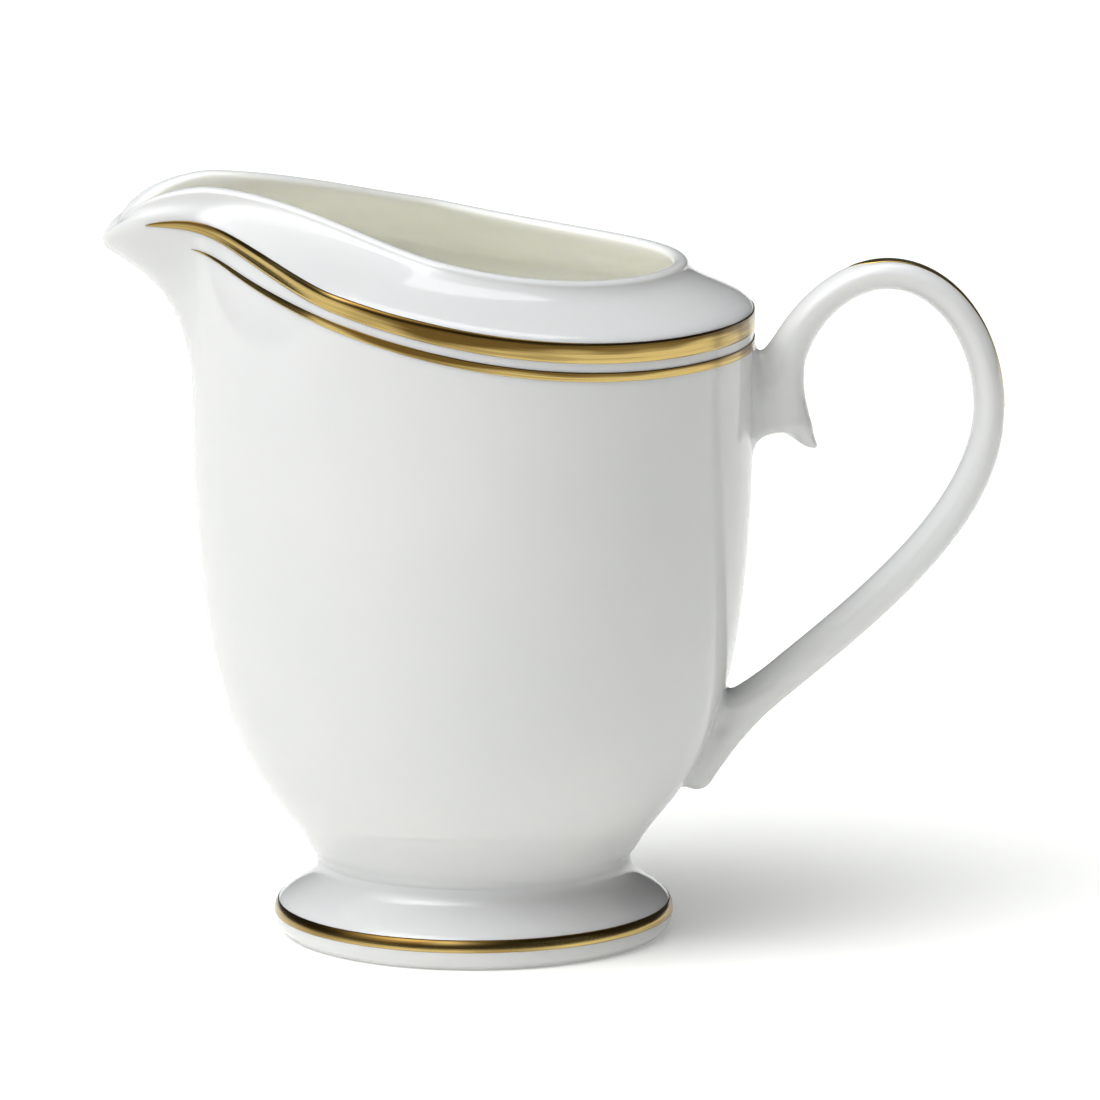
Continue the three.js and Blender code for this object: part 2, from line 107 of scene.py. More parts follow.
def finish_tree(tree, add, geometry, material):
    """Every tree ends the same way: real geometry with its finish on it."""
    made = add("GeometryNodeRealizeInstances", geometry)[0]
    made = add("GeometryNodeSetShadeSmooth", made)[0]
    made = add("GeometryNodeSetMaterial", made, None, material)[0]
    end = tree.nodes.new("NodeGroupOutput")
    tree.links.new(made, end.inputs[0])


def turning_tree():
    """Turns the profile held in the object's mesh about the middle of the jug."""
    tree, given, add = bench("turn on the wheel", Steps="Int", Middle="Float", Glaze="Material")
    rows = add("GeometryNodeAttributeDomainSize", given["Geometry"])[0]
    columns = calc(add, "ADD", given["Steps"], 1.0)
    grid = add("GeometryNodeMeshGrid", 1.0, 1.0, columns, rows)[0]
    index = add("GeometryNodeInputIndex")[0]
    column = calc(add, "FLOOR", calc(add, "DIVIDE", calc(add, "ADD", index, 0.5), rows))
    row = calc(add, "SUBTRACT", index, calc(add, "MULTIPLY", column, rows))
    spot = add("GeometryNodeInputPosition")[0]
    profile = add(
        "GeometryNodeSampleIndex", given["Geometry"], spot, row, data_type="FLOAT_VECTOR"
    )[0]
    radius, _, height = add("ShaderNodeSeparateXYZ", profile)
    turn = calc(add, "DIVIDE", calc(add, "MULTIPLY", column, 2 * pi), given["Steps"])
    x = calc(add, "MULTIPLY_ADD", calc(add, "COSINE", turn), radius, given["Middle"])
    y = calc(add, "MULTIPLY", calc(add, "SINE", turn), radius)
    place = add("ShaderNodeCombineXYZ", x, y, height)[0]
    turned = add("GeometryNodeSetPosition", grid, None, place)[0]
    turned = add("GeometryNodeMergeByDistance", turned, None, 1e-6)[0]
    finish_tree(tree, add, turned, given["Glaze"])
    return tree


def run_tree(name, tree, points, edges, attributes=None, **inputs):
    """Runs a tree on a guide mesh and returns the plain mesh that comes out as an object."""
    guide = bpy.data.meshes.new(name + " guide")
    guide.from_pydata([tuple(p) for p in points], edges, [])
    for label, values in (attributes or {}).items():
        kind = "FLOAT_VECTOR" if np.ndim(values) == 2 else "FLOAT"
        held = guide.attributes.new(label, kind, "POINT")
        held.data.foreach_set(
            "vector" if np.ndim(values) == 2 else "value", np.array(values, np.float32).ravel()
        )
    holder = bpy.data.objects.new(name + " guide", guide)
    bpy.context.scene.collection.objects.link(holder)
    modifier = holder.modifiers.new(tree.name, "NODES")
    modifier.node_group = tree
    sockets = {s.name: s.identifier for s in tree.interface.items_tree if s.in_out == "INPUT"}
    for label, value in inputs.items():
        modifier[sockets[label.replace("_", " ")]] = value
    seen = bpy.context.evaluated_depsgraph_get()
    seen.update()
    mesh = bpy.data.meshes.new_from_object(holder.evaluated_get(seen))
    mesh.name = name
    bpy.data.objects.remove(holder)
    made = bpy.data.objects.new(name, mesh)
    bpy.context.scene.collection.objects.link(made)
    return made


def keep_outward(piece):
    """Keeps the outward direction of the glaze at each point, for the gilder to work from."""
    mesh = piece.data
    normals = np.empty(len(mesh.vertices) * 3, np.float32)
    mesh.vertex_normals.foreach_get("vector", normals)
    mesh.attributes.new("outward", "FLOAT_VECTOR", "POINT").data.foreach_set("vector", normals)


def face_out(piece):
    """Turns a closed mesh the right way round if its faces point inwards."""
    mesh = piece.data
    mesh.calc_loop_triangles()
    corners = np.empty(len(mesh.loop_triangles) * 3, np.int32)
    mesh.loop_triangles.foreach_get("vertices", corners)
    spots = np.empty(len(mesh.vertices) * 3, np.float32)
    mesh.vertices.foreach_get("co", spots)
    a, b, c = (spots.reshape(-1, 3)[corners.reshape(-1, 3)[:, i]] for i in range(3))
    if np.einsum("ij,ij->i", a, np.cross(b, c)).sum() < 0:
        mesh.flip_normals()


def shade(material):
    """Adds nodes to a material: kind, what its inputs take by name, and its settings."""
    tree = material.node_tree

    def add(kind, takes=None, **settings):
        node = tree.nodes.new(kind)
        for key, value in settings.items():
            setattr(node, key, value)
        for label, value in (takes or {}).items():
            if isinstance(value, bpy.types.NodeSocket):
                tree.links.new(value, node.inputs[label])
            else:
                node.inputs[label].default_value = value
        return node

    return add


def bone_china():
    """White bone china under a clear glossy glaze, with painted light on the inside, where it is
    enclosed: paler, creamier and faintly glowing.
    """
    material = bpy.data.materials.new("glazed bone china")
    material.use_nodes = True
    add = shade(material)
    surface = material.node_tree.nodes["Principled BSDF"]
    coords = add("ShaderNodeTexCoord").outputs["Object"]

    # Body colour: slow cloudy drift, and a painted paler cream on the inside that stands in for the
    # light caught inside the bowl.
    cloud = add("ShaderNodeTexNoise", {"Vector": coords, "Scale": 26.0, "Detail": 3.0})
    tone = add("ShaderNodeValToRGB", {"Fac": cloud.outputs["Fac"]})
    tone.color_ramp.elements[0].position = 0.3
    tone.color_ramp.elements[0].color = (0.66, 0.667, 0.667, 1)
    tone.color_ramp.elements[1].position = 0.72
    tone.color_ramp.elements[1].color = (0.69, 0.69, 0.682, 1)
    inner = add("ShaderNodeAttribute", attribute_name="inner")
    painted_inside_light = add(
        "ShaderNodeMix",
        {"Factor": inner.outputs["Fac"], 6: tone.outputs["Color"], 7: (0.97, 0.965, 0.90, 1)},
        data_type="RGBA",
    )
    material.node_tree.links.new(painted_inside_light.outputs[2], surface.inputs["Base Color"])

    # Painted glow: a faint creamy emission inside the bowl stands in for the light that comes through
    # the thin wall.
    painted_glow = add("ShaderNodeMath", {0: inner.outputs["Fac"], 1: 0.045}, operation="MULTIPLY")
    material.node_tree.links.new(painted_glow.outputs[0], surface.inputs["Emission Strength"])
    surface.inputs["Emission Color"].default_value = (1.0, 0.98, 0.80, 1)

    # Gloss: fired glaze with faint patches where it is a touch less bright.
    patch = add("ShaderNodeTexNoise", {"Vector": coords, "Scale": 90.0, "Detail": 4.0})
    gloss = add(
        "ShaderNodeMapRange",
        {"Value": patch.outputs["Fac"], "To Min": 0.06, "To Max": 0.15},
    )
    material.node_tree.links.new(gloss.outputs["Result"], surface.inputs["Roughness"])

    # Surface: the slow waver of a cast wall under a very fine orange peel.
    waver = add("ShaderNodeTexNoise", {"Vector": coords, "Scale": 55.0, "Detail": 1.0})
    peel = add("ShaderNodeTexNoise", {"Vector": coords, "Scale": 1100.0, "Detail": 2.0})
    slow = add(
        "ShaderNodeBump",
        {"Height": waver.outputs["Fac"], "Strength": 0.35, "Distance": 0.00012},
    )
    fine = add(
        "ShaderNodeBump",
        {
            "Height": peel.outputs["Fac"],
            "Strength": 0.12,
            "Distance": 0.00001,
            "Normal": slow.outputs["Normal"],
        },
    )
    material.node_tree.links.new(fine.outputs["Normal"], surface.inputs["Normal"])
    surface.inputs["IOR"].default_value = 1.52
    surface.inputs["Subsurface Weight"].default_value = 0.4
    surface.inputs["Subsurface Radius"].default_value = (1.0, 0.9, 0.75)
    surface.inputs["Subsurface Scale"].default_value = 0.003
    return material


china = bone_china()
wheel = turning_tree()

foot_shoulder = [
    (foot_radius, foot_widest),
    (foot_radius, foot_widest + 1.4),
    (foot_radius - 0.9, foot_widest + 2.2),
    (foot_radius - 2.2, foot_widest + 3.1),
]
foot_cove = [
    (foot_radius - 2.2, foot_widest + 3.1),
    (foot_radius - 4.3, foot_widest + 4.55),
    (waist_radius, foot_height - 2.5),
    (waist_radius, foot_height),
]
foot_edge = [
    (foot_base_radius, ring_edge),
    (foot_base_radius + 0.65, ring_edge + 0.35),
    (foot_radius, foot_widest - 1.4),
    (foot_radius, foot_widest),
]
ring_inside = foot_base_radius - foot_ring_width
recess = [
    (waist_radius - foot_wall, foot_height + foot_tuck),
    (waist_radius - foot_wall, foot_height - 4),
    (ring_inside - 1, 4),
    (ring_inside, ring_edge),
]
outer_rounding = [
    (foot_base_radius - ring_edge, 0),
    (foot_base_radius - ring_edge / 2, 0),
    (foot_base_radius - 0.06, ring_edge / 2),
    (foot_base_radius, ring_edge),
]
inner_rounding = [
    (ring_inside, ring_edge),
    (ring_inside, ring_edge / 2),
    (ring_inside + ring_edge / 2, 0),
    (ring_inside + ring_edge, 0),
]
profile = np.vstack(
    [
        bow(outer_rounding, 5),
        bow(foot_edge, 12)[1:],
        bow(foot_shoulder, 16)[1:],
        bow(foot_cove, 22)[1:],
        [(waist_radius - joint_clearance, foot_height + foot_tuck)],
        bow(recess, 18),
        bow(inner_rounding, 5)[1:],
        [(foot_base_radius - ring_edge, 0)],
    ]
)
foot = run_tree(
    "foot_turned",
    wheel,
    [(r * MM, 0, z * MM) for r, z in profile],
    [(i, i + 1) for i in range(len(profile) - 1)],
    Steps=wheel_steps,
    Middle=axis_x * MM,
    Glaze=china,
)
face_out(foot)
keep_outward(foot)
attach(foot, "root")
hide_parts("foot")

# ---- Body ------------------------------------------------------------------------------------
# One slip-cast wall: a round belly whose shoulder and rim are drawn out and up into a pouring
# spout. The rim is folded in over a sloping collar and rounded off, and the bowl is glazed too.

body_radius = 42.0
wall = 2.4
shoulder_height = 93.6
shoulder_crest = 108.9
collar_height = 8.0
collar_width = 9.8
rim_crest = 113.6
shoulder_bend = dict(rise_from=0.08, rise_to=0.84, steepening=2.15, crest_at=0.885, rounding=2)
rim_bend = dict(rise_from=0.03, rise_to=0.73, steepening=2, crest_at=0.82, rounding=5)
lip_height = 0.9
spout_reach = body_radius + 13.2
spout_half_width = 10.1
spout_tip_height = 105.0
spout_lip = 2.0
spout_lip_rise = 1.3
spout_wall = 3.2
spout_root_wall = 1.2  # thicker still by this much under the tip
spout_side_wall = 2.6
floor_thickness = 3.2
channel_slope = radians(15)
seat_height = foot_height + 0.03  # a hair of slip between the foot and the body
belly_top = shoulder_height - 13.4


def half_outline(radius, leaves_at, channel_start, half_width, tip, bend, tip_pull, counts):
    """Half a plan outline, from the handle round to the tip of the spout, with its directions."""
    leave = radius * np.array([cos(radians(leaves_at)), sin(radians(leaves_at))])
    leave_way = np.array([-sin(radians(leaves_at)), cos(radians(leaves_at))])
    channel = np.array([-channel_start, half_width])
    channel_way = np.array([-cos(channel_slope), -sin(channel_slope)])
    turn = np.radians(np.linspace(0, leaves_at, counts[0] + 1))
    arc = radius * np.column_stack([np.cos(turn), np.sin(turn)])
    flank = bow(
        [leave, leave + leave_way * bend[0], channel - channel_way * bend[1], channel],
        counts[1] + 1,
    )
    nose = bow(
        [
            channel,
            channel + channel_way * (tip - channel_start) * 0.6,
            (-tip, half_width * tip_pull),
            (-tip, 0),
        ],
        counts[2] + 1,
    )
    return np.vstack([arc, flank[1:], nose[1:]])


def soft_min(a, b, width):
    """The smaller of two values, with the corner between them rounded off."""
    near = np.maximum(width - np.abs(a - b), 0) / width
    return np.minimum(a, b) - near * near * width / 4


def side_line(share, level, crest, tip_height, rise_from, rise_to, steepening, crest_at, rounding):
    """Height of a line round the jug: level at the handle, up to a crest, down to the tip."""
    rise = np.maximum(share - rise_from, 0) / (rise_to - rise_from)
    risen = soft_min(level + (crest - level) * rise**steepening, crest, rounding)
    past = np.clip((share - crest_at) / (1 - crest_at), 0, 1)
    return tip_height + (risen - tip_height) * np.sqrt(1 - past * past)


counts = (56, 26, 22)  # steps along the arc, the flank and the nose of half the jug
shoulder_shape = dict(
    radius=body_radius,
    leaves_at=118,
    channel_start=body_radius,
    half_width=spout_half_width,
    tip=spout_reach,
    bend=(8, 8),
    tip_pull=0.62,
    counts=counts,
)
rim_shape = dict(
    radius=body_radius - collar_width,
    leaves_at=98,
    channel_start=body_radius - 4,
    half_width=spout_half_width,
    tip=spout_reach - spout_lip,
    bend=(7, 14),
    tip_pull=0.75,
    counts=counts,
)


def inside_of(shape, tip):
    """The same outline for the inside face of the wall."""
    return {
        **shape,
        "radius": shape["radius"] - wall,
        "half_width": shape["half_width"] - spout_side_wall,
        "tip": tip,
    }


rim_tip = rim_shape["tip"]
shoulder_plan = half_outline(**shoulder_shape)
rim_plan = half_outline(**rim_shape)
inside_shoulder_plan = half_outline(
    **inside_of(shoulder_shape, rim_tip - spout_wall - spout_root_wall)
)
inside_rim_plan = half_outline(**inside_of(rim_shape, rim_tip - spout_wall))

shoulder_share = (body_radius - shoulder_plan[:, 0]) / (body_radius + spout_reach)
rim_radius = rim_shape["radius"]
rim_share = (rim_radius - rim_plan[:, 0]) / (rim_radius + rim_tip)
shoulder_z = side_line(
    shoulder_share, shoulder_height, shoulder_crest, spout_tip_height, **shoulder_bend
)
rim_z = side_line(
    rim_share,
    shoulder_height + collar_height,
    rim_crest,
    spout_tip_height + spout_lip_rise,
    **rim_bend,
)
spoutness = np.concatenate(
    [
        np.zeros(counts[0]),
        np.linspace(0, 0.5, counts[1] + 1),
        np.linspace(0.5, 1, counts[2] + 1)[1:],
    ]
)

# The outside of the belly in two curves: the hollow at the waist, and the swell above the neck.
neck = (waist_radius + 1.4, seat_height + 2.7)
waist_curve = [
    (waist_radius, seat_height),
    (waist_radius, seat_height + 1.2),
    (neck[0] - 0.7, neck[1] - 1.25),
    neck,
]
swell_curve = [
    neck,
    (neck[0] + 5.1, neck[1] + 9.3),
    (body_radius, neck[1] + 10.9),
    (body_radius, belly_top),
]

# How far out and how far up each row lies: from belly to shoulder, and from shoulder to rim.
throat = [(0, 0), (0, 0.86), (0.92, 0.86), (1, 1)]
collar = [(0, 0.15), (0, 0.43), (0.87, 0.6), (1, 1)]


def circle_row(radius, height):
    """Half a ring of the belly, in step with the shoulder outline."""
    turn = np.arctan2(shoulder_plan[:, 1], shoulder_plan[:, 0])
    level = np.full(len(turn), float(height))
    return np.column_stack([radius * np.cos(turn), radius * np.sin(turn), level])


def throat_row(share, plan, low_radius, top_z):
    """Half a ring between the round belly and the shoulder."""
    turn = np.arctan2(plan[:, 1], plan[:, 0])
    radius = low_radius + (np.hypot(*plan.T) - low_radius) * share[0]
    level = belly_top + (top_z - belly_top) * share[1]
    return np.column_stack([radius * np.cos(turn), radius * np.sin(turn), level])


def collar_row(share, low_plan, low_z, high_plan, high_z):
    """Half a ring between the shoulder and the rim."""
    plan = low_plan + (high_plan - low_plan) * share[0]
    return np.column_stack([plan, low_z + (high_z - low_z) * share[1]])


rows, inner = [], []


def cast(row, how_far_inside):
    """Adds half a ring to the wall, and whether it is inside (1) or outside (0) the jug."""
    rows.append(row)
    inner.append(how_far_inside)


# Underneath, with close rows to keep the edge of the joint crisp, then up the outside.
for inset in (1.0, joint_clearance, 0):
    cast(circle_row(waist_radius - inset, seat_height), 0)
cast(circle_row(waist_radius, seat_height + joint_clearance), 0)
for curve, steps in ((waist_curve, 9), (swell_curve, 60)):
    for radius, height in bow(curve, steps)[1:]:
        cast(circle_row(radius, height), 0)
for share in bow(throat, 30)[1:]:
    cast(throat_row(share, shoulder_plan, body_radius, shoulder_z), 0)
for share in bow(collar, 34):
    cast(collar_row(share, shoulder_plan, shoulder_z, rim_plan, rim_z), 0)

# Over the lip, and down the inside of the spout, the collar and the bowl.
lip_steps = 16
for t in np.linspace(0, 1, lip_steps + 1)[1:]:
    over = (1 - cos(pi * t)) / 2
    plan = rim_plan + (inside_rim_plan - rim_plan) * over
    cast(np.column_stack([plan, rim_z + lip_height * sin(pi * t)]), max(over * 2 - 1, 0) ** 2)
inside_z = shoulder_z + wall * (0.7 * spoutness - 0.6)
for share in bow(collar, 24)[::-1][1:]:
    cast(collar_row(share, inside_shoulder_plan, inside_z, inside_rim_plan, rim_z), 1)
for share in bow(throat, 20)[::-1][1:-1]:
    cast(throat_row(share, inside_shoulder_plan, body_radius - wall, inside_z), 1)
bowl_line = bow(swell_curve, 81)
bowl_way = np.gradient(bowl_line, axis=0)
bowl_way /= np.hypot(*bowl_way.T)[:, None]
bowl_line = bowl_line + np.column_stack([-bowl_way[:, 1], bowl_way[:, 0]]) * wall
down_to_bend = bowl_line[::-1][:72:2]
for radius, height in down_to_bend:
    cast(circle_row(radius, height), 1)

# The rounded bend into the flat floor of the bowl.
floor_z = seat_height + floor_thickness
low_r, low_z = down_to_bend[-1]
flat_radius = low_r - 7
bend = [(low_r, low_z), (low_r - 1.6, low_z - 2.2), (low_r - 3.4, floor_z), (flat_radius, floor_z)]
for radius, height in bow(bend, 12)[1:]:
    cast(circle_row(radius, height), 1)
for part in (0.75, 0.5, 0.25):
    cast(circle_row(flat_radius * part, floor_z), 1)

# Each half ring is mirrored to a whole one, and the rings are joined by quads.
full = [np.vstack([row, row[-2:0:-1] * (1, -1, 1)]) for row in rows]
around = len(full[0])
points = np.vstack([[(0, 0, seat_height)], *full, [(0, 0, floor_z)]])
points = (points + (axis_x, 0, 0)) * MM
last = len(points) - 1
quads = []
for r in range(len(full) - 1):
    a = 1 + r * around
    for c in range(around):
        d = (c + 1) % around
        quads.append((a + c, a + d, a + around + d, a + around + c))
for c in range(around):
    d = (c + 1) % around
    quads.append((0, 1 + d, 1 + c))
    quads.append((last, last - around + c, last - around + d))
body_mesh = bpy.data.meshes.new("body_cast")
body_mesh.from_pydata(points.tolist(), [], quads)
body_mesh.polygons.foreach_set("use_smooth", [True] * len(quads))
# The inner attribute masks the painted paler cream and the painted glow on the inside of the wall.
body_mesh.attributes.new("inner", "FLOAT", "POINT").data.foreach_set(
    "value", np.concatenate([[0], np.repeat(inner, around), [1]]).astype(np.float32)
)
body_mesh.materials.append(china)
body = bpy.data.objects.new("body_cast", body_mesh)
bpy.context.scene.collection.objects.link(body)
face_out(body)
keep_outward(body)
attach(body, "root")
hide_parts("jug_body")

# ---- Handle ----------------------------------------------------------------------------------
# A pulled loop of oval section with a small thumb spur, stuck to the wall with slip at the top
# and at its rounded lower end. The slip is smoothed into a hollow fillet round both joints.

handle_thickness = 4.6
handle_width = 6.2
handle_root_drop = 13  # below the shoulder
handle_root_out = 3.2
handle_rise = 8.6  # above the shoulder
handle_top_out = 20
handle_overhang = 37.6
elbow_out = 12.1  # where the sweep turns down the belly, outside the lower end
elbow_rise = 14.1
elbow_angle = radians(219.7)
elbow_pull = 18.5  # how stiffly the sweep runs into the elbow
elbow_push = 7.3  # and out of it
spur_reach = 5.9
spur_drop = 6.7
half_thickness = handle_thickness / 2
root_z = shoulder_height - handle_root_drop
root_x = body_radius + handle_root_out
top_z = shoulder_height + handle_rise - half_thickness
top_x = body_radius + handle_top_out
outer_x = body_radius + handle_overhang - half_thickness
outer_z = root_z - 1
end_z = 23.8
end_x = 33.67  # 1.6 outside the belly at that height
elbow = np.array([end_x + elbow_out, end_z + elbow_rise])
elbow_way = np.array([cos(elbow_angle), sin(elbow_angle)])
oval_widening = 0.22  # how much of a swell in thickness shows in the width too
root_cut = 1.6  # softness of the square cut under the root
root_surround = (8, 20)  # out and down from the root, past which nothing is cut
spur_blend = 2.0
web_blend = 1.5
slip_fillet = (1.9, 3.6)  # at the lower and at the upper joint
fillet_change = (45, 65)  # heights between which one fillet passes into the other
bed_clearance = 0.03  # the fillet runs out this far under the glaze of the body
bed_depth = 1.3
clay_step = 0.45


def belly_radius(height):
    """Radius of the outside of the belly at a height."""
    line = np.vstack([bow(waist_curve, 30), bow(swell_curve, 200)])
    return np.interp(height, line[:, 1], line[:, 0])


def quarter(middle, radii, count):
    """A quarter of an ellipse, from its top round to its outermost point."""
    turn = np.linspace(0, pi / 2, count)
    return np.column_stack([middle[0] + radii[0] * np.sin(turn), middle[1] + radii[1] * np.cos(turn)])


def thickness_along(count, start, end, haste=4.0):
    """Half thickness along a stretch: most of the change comes early on."""
    t = np.linspace(0, 1, count)
    return half_thickness * (end + (start - end) * (1 - t) ** haste)


# Stretches of the loop from the root to the lower end, with how thick each starts and ends.
stretches = [
    (np.linspace((root_x + 0.5, root_z - 4.4), (root_x, root_z), 12), (2.05, 1.85)),
    (
        bow(
            [
                (root_x, root_z),
                (root_x + 1.2, root_z + (top_z - root_z) * 0.6),
                (top_x - 7.4, top_z),
                (top_x, top_z),
            ],
            60,
        ),
        (1.85, 1),
    ),
    (quarter((top_x, outer_z), (outer_x - top_x, top_z - outer_z), 60), (1, 1)),
    (
        bow(
            [
                (outer_x, outer_z),
                (outer_x, elbow[1] + (outer_z - elbow[1]) * 0.616),
                elbow - elbow_way * elbow_pull,
                elbow,
            ],
            70,
        ),
        (1, 1.2, 3.0),
    ),
    (
        bow(
            [
                elbow,
                elbow + elbow_way * elbow_push,
                (end_x + 2.85, end_z + 4.4),
                (end_x, end_z),
            ],
            30,
        ),
        (1.2, 1.13),
    ),
]
loop_line = np.vstack([line[min(i, 1) :] for i, (line, _) in enumerate(stretches)])
loop_half = np.concatenate(
    [thickness_along(len(line), *size)[min(i, 1) :] for i, (line, size) in enumerate(stretches)]
)
spur_line = bow(
    [
        (root_x + 0.6, root_z + 3),
        (root_x + 1.9, root_z - 1.5),
        (root_x + 3.7, root_z - 4.8),
        (root_x + spur_reach, root_z - spur_drop),
    ],
    24,
)
spur_tip_half = 0.5
spur_swell = half_thickness * 1.3 - spur_tip_half
spur_half = spur_tip_half + spur_swell * (1 - np.linspace(0, 1, len(spur_line))) ** 0.7

# A web of slip fills the crook above the lower joint.
web_line = np.linspace((end_x + 1.8, end_z + 8.9), (end_x + 9.8, end_z + 12.6), 12)
web_half = np.full(len(web_line), 2.0)
web_width = 5.8


class Strand:
    """Distance from a line in the plane of the handle, and the half thickness nearest to it."""

    def __init__(self, line, half, low, high, step=0.2):
        self.low, self.step = np.array(low, float), step
        size = np.ceil((np.array(high) - low) / step).astype(int) + 2
        x, z = np.meshgrid(*(low[i] + step * np.arange(size[i]) for i in (0, 1)), indexing="ij")
        best, thick = np.full(x.shape, 1e9), np.zeros(x.shape)
        for a, b, from_half, to_half in zip(line, line[1:], half, half[1:]):
            way = b - a
            t = np.clip(((x - a[0]) * way[0] + (z - a[1]) * way[1]) / (way @ way), 0, 1)
            away = np.hypot(x - a[0] - t * way[0], z - a[1] - t * way[1])
            near = away < best
            best[near] = away[near]
            thick[near] = (from_half + t * (to_half - from_half))[near]
        self.table = np.stack([best, thick], -1)

    def __call__(self, x, z):
        place = (np.column_stack([x, z]) - self.low) / self.step
        cell = np.clip(place.astype(int), 0, np.array(self.table.shape[:2]) - 2)
        i, j = cell.T
        u, v = np.clip(place - cell, 0, 1).T[:, :, None]
        t = self.table
        mix = (t[i, j] * (1 - u) + t[i + 1, j] * u) * (1 - v)
        mix = mix + (t[i, j + 1] * (1 - u) + t[i + 1, j + 1] * u) * v
        return mix.T


clay_low = np.array([24.0, -8.4, 15.0])
clay_high = np.array([81.0, 8.4, 104.0])
loop_strand = Strand(loop_line, loop_half, clay_low[[0, 2]], clay_high[[0, 2]])
spur_strand = Strand(spur_line, spur_half, clay_low[[0, 2]], clay_high[[0, 2]])
web_strand = Strand(web_line, web_half, clay_low[[0, 2]], clay_high[[0, 2]])
start_way = (loop_line[1] - loop_line[0]) / np.hypot(*(loop_line[1] - loop_line[0]))


def clay(x, y, z):
    """Below zero inside the handle and its slip fillets, which run out under the body's glaze."""
    away, half = loop_strand(x, z)
    wide = handle_width / 2 * (1 + oval_widening * (half / half_thickness - 1))
    loop = np.hypot(away, y * half / wide) - half
    below = (loop_line[0][0] - x) * start_way[0] + (loop_line[0][1] - z) * start_way[1]
    below[(x > root_x + root_surround[0]) | (z < root_z - root_surround[1])] = -99
    loop = -soft_min(-loop, -below, root_cut)  # the root is cut off square underneath
    away, half = spur_strand(x, z)
    spur = np.hypot(away, y * half / (handle_width * 0.15 + half * 0.6)) - half
    away, half = web_strand(x, z)
    web = np.hypot(away, 2 * y * half / web_width) - half
    strand = soft_min(soft_min(loop, spur, spur_blend), web, web_blend)
    radius = belly_radius(z)
    lean = belly_radius(z + 0.5) - belly_radius(z - 0.5)
    glaze = (np.hypot(x, y) - radius) / np.sqrt(1 + lean * lean)
    fillet = np.interp(z, fillet_change, slip_fillet)
    joined = soft_min(strand, glaze + bed_clearance, fillet)
    return np.maximum(joined, np.maximum(-(glaze + bed_depth), strand - fillet))


def skin_over(field, low, high, step):
    """Closed quad mesh where the field crosses zero, drawn onto it exactly."""
    size = np.ceil((high - low) / step).astype(int) + 1
    axes = [low[i] + step * np.arange(size[i]) for i in range(3)]
    grid = np.meshgrid(*axes, indexing="ij")
    value = field(*(g.ravel() for g in grid)).reshape(size)
    inside = value < 0
    corners = np.array([[i, j, k] for i in (0, 1) for j in (0, 1) for k in (0, 1)])
    cells = size - 1

    def at(table, corner):
        i, j, k = corner
        return table[i : i + cells[0], j : j + cells[1], k : k + cells[2]]

    count = sum(at(inside, c).astype(int) for c in corners)
    crossed = (count > 0) & (count < 8)
    number = np.full(cells, -1)
    number[crossed] = np.arange(crossed.sum())
    where = np.argwhere(crossed)
    total, hits = np.zeros((len(where), 3)), np.zeros(len(where))
    for a in range(8):
        for b in range(a + 1, 8):
            if np.abs(corners[a] - corners[b]).sum() != 1:
                continue
            va = at(value, corners[a])[crossed]
            vb = at(value, corners[b])[crossed]
            cut = (va < 0) != (vb < 0)
            share = np.where(cut, va / np.where(va == vb, 1, va - vb), 0)[:, None]
            spot = corners[a] + (corners[b] - corners[a]) * share
            total += np.where(cut[:, None], spot, 0)
            hits += cut
    spots = low + step * (where + total / hits[:, None])
    for _ in range(3):  # draws each point onto the surface along the steepest way
        feel = 0.05
        f = field(*spots.T)
        way = np.column_stack(
            [field(*(spots + d).T) - field(*(spots - d).T) for d in np.eye(3) * feel]
        ) / (2 * feel)
        steep = np.maximum((way * way).sum(1), 0.25)
        spots = spots - np.clip(f / steep, -step, step)[:, None] * way
    faces = []
    for axis in range(3):
        u, v = (axis + 1) % 3, (axis + 2) % 3
        here = [slice(None)] * 3
        there = [slice(None)] * 3
        here[axis], there[axis] = slice(0, -1), slice(1, None)
        for way, sign in ((1, inside[tuple(here)]), (-1, inside[tuple(there)])):
            other = inside[tuple(there if way == 1 else here)]
            edge = np.argwhere(sign & ~other)
            edge = edge[(edge[:, u] > 0) & (edge[:, v] > 0)]
            edge = edge[(edge[:, u] < cells[u]) & (edge[:, v] < cells[v])]
            ring = []
            for du, dv in ((-1, -1), (0, -1), (0, 0), (-1, 0)):
                cell = edge.copy()
                cell[:, u] += du
                cell[:, v] += dv
                ring.append(number[tuple(cell.T)])
            quad = np.column_stack(ring if way == 1 else ring[::-1])
            faces.append(quad)
    return spots, np.vstack(faces)


spots, faces = skin_over(clay, clay_low, clay_high, clay_step)
handle_mesh = bpy.data.meshes.new("handle_pulled")
handle_mesh.from_pydata(((spots + (axis_x, 0, 0)) * MM).tolist(), [], faces.tolist())
handle_mesh.polygons.foreach_set("use_smooth", [True] * len(faces))
handle_mesh.materials.append(china)
handle = bpy.data.objects.new("handle_pulled", handle_mesh)
bpy.context.scene.collection.objects.link(handle)
face_out(handle)
keep_outward(handle)
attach(handle, "root")
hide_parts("handle")

# ---- Gilding ---------------------------------------------------------------------------------
# Bright gold laid on the fired glaze with a loaded brush while the jug turns on the banding
# wheel, fired again and burnished. Each stroke is a thin film that thins out at its ends.

film = 0.05  # above the glaze, and as much again below it
gold_band_width = 3.0
gold_line_width = 1.35
gold_line_drop = 3.5
foot_band_width = 2.0
handle_stroke_width = 3.4
band_leaves_off = 2.35  # station on the spout where the band runs out
line_leaves_off = 2.0
taper_run = 1.1  # stations over which a stroke swells to its full width
handle_stroke_start = 45  # points past the upper joint of the handle
wavers_per_metre = 120.0


